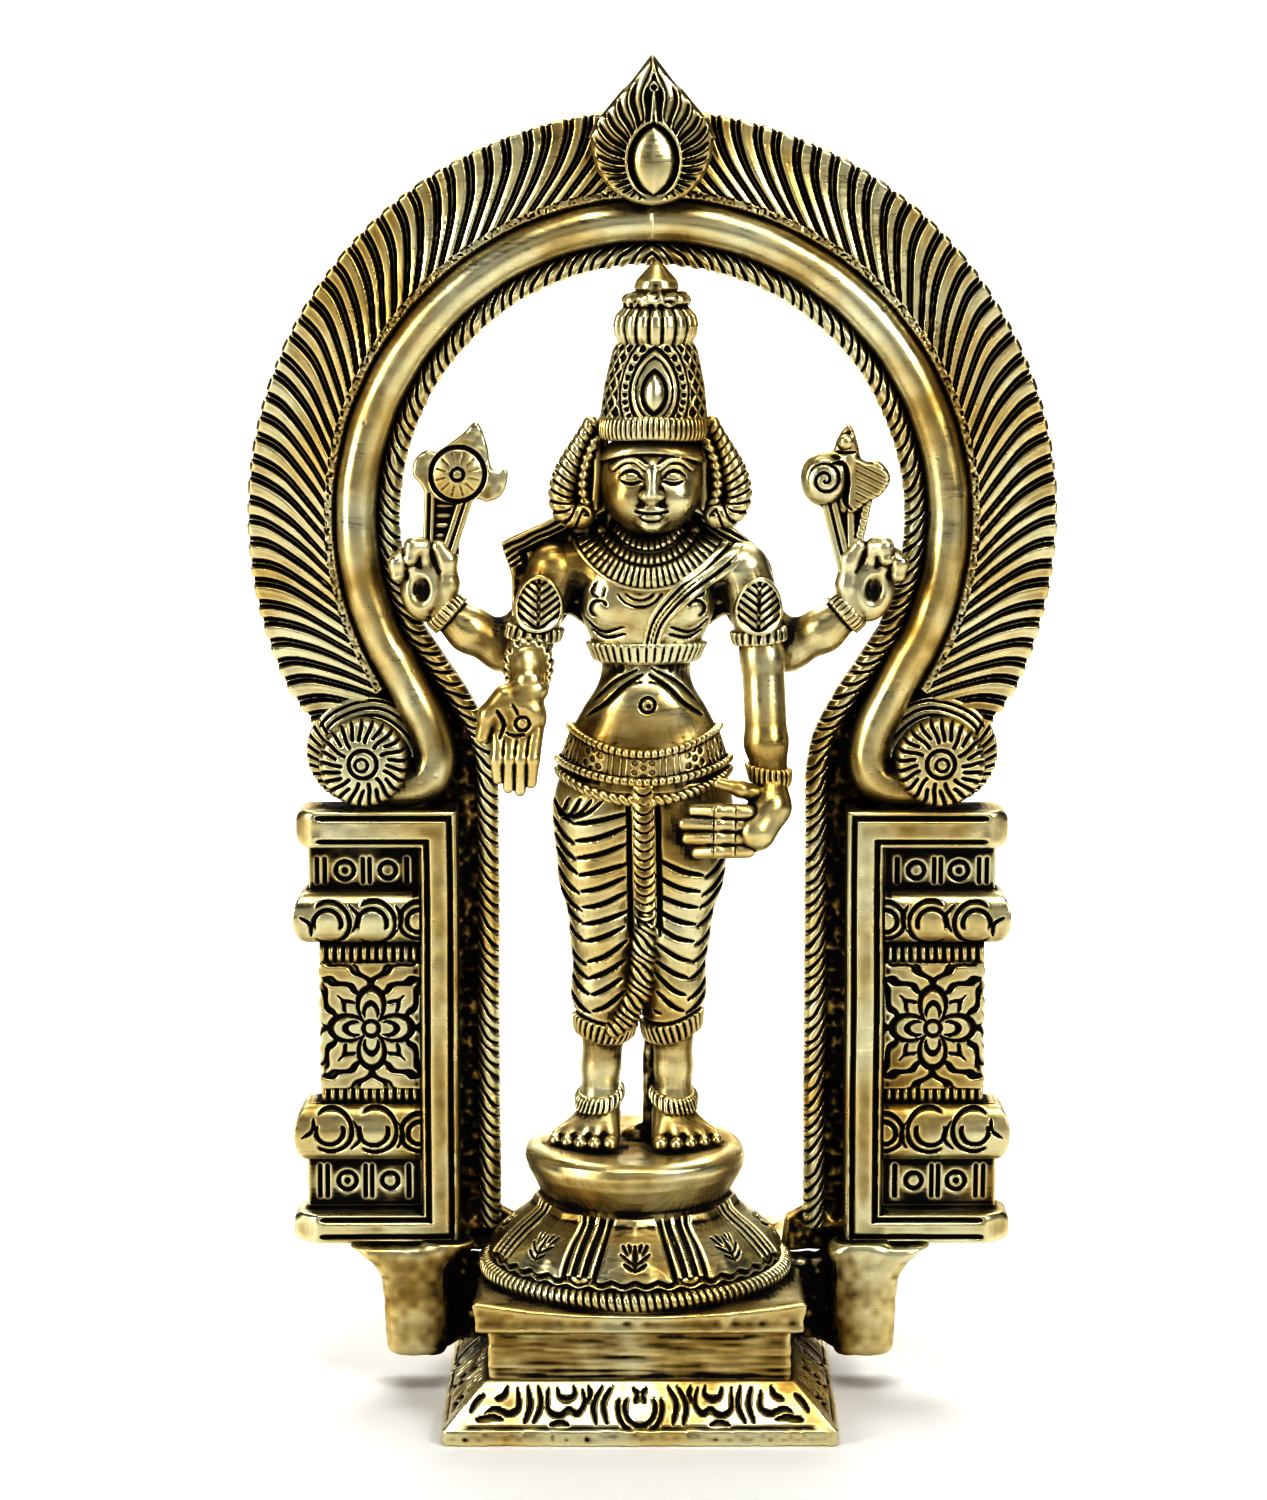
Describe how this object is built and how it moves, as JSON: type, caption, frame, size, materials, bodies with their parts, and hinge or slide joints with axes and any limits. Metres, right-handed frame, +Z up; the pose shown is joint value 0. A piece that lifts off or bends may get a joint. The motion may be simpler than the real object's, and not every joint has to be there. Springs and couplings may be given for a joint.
{
  "type": "cast brass statue",
  "caption": "Standing deity figure with raised and lowered arms on a lotus seat and square plinth, framed by a feathered arch; a cast brass ornament.",
  "frame": {"origin": "on the ground, below the middle of the arch and midway between the front and rear edges of the plinth", "axes": "+Z up along the height, the figure faces -Y, +X towards the figure's own left hand"},
  "size_m": [0.1674, 0.08, 0.279],
  "materials": {
    "brass": "cast, filed and hand-polished on the high parts, with dark patina in the recesses",
    "shaded_brass": "rough as cast, darkened by patina",
    "steel": "plain zinc-dulled fixings"
  },
  "bodies": {
    "root": {"anklet_left": "brass", "anklet_right": "brass", "arch_boss_left": "brass", "arch_boss_right": "brass", "back_web_left": "shaded_brass", "back_web_right": "shaded_brass", "chest_band": "brass", "conch": "brass", "crown_band": "brass", "crown_bud": "brass", "crown_bulb": "brass", "crown_cone": "brass", "dhoti": "brass", "dhoti_pleat": "brass", "discus": "brass", "ear_pendant_left": "brass", "ear_pendant_right": "brass", "feather_band_left": "brass", "feather_band_right": "brass", "finial_leaf": "brass", "fixing_nut": "steel", "fixing_stud": "steel", "fixing_washer": "steel", "foot_drum": "brass", "foot_left": "brass", "foot_right": "brass", "head": "brass", "left_arm": "brass", "left_armlet": "brass", "left_bracelet": "brass", "left_hand": "brass", "leg_frame_left": "brass", "leg_frame_right": "brass", "lotus_dome": "brass", "necklace": "brass", "pilaster_left": "brass", "pilaster_right": "brass", "plinth_foot": "brass", "plinth_neck": "brass", "plinth_slab": "brass", "rear_left_arm": "brass", "rear_left_hand": "brass", "rear_right_arm": "brass", "rear_right_hand": "brass", "right_arm": "brass", "right_armlet": "brass", "right_bracelet": "brass", "right_hand": "brass", "roll_moulding_left": "brass", "roll_moulding_right": "brass", "rope_moulding_left": "brass", "rope_moulding_right": "brass", "rope_rim": "brass", "rosette_left": "brass", "rosette_right": "brass", "sash": "brass", "torso": "brass", "waist_belt": "brass"}
  },
  "joints": []
}
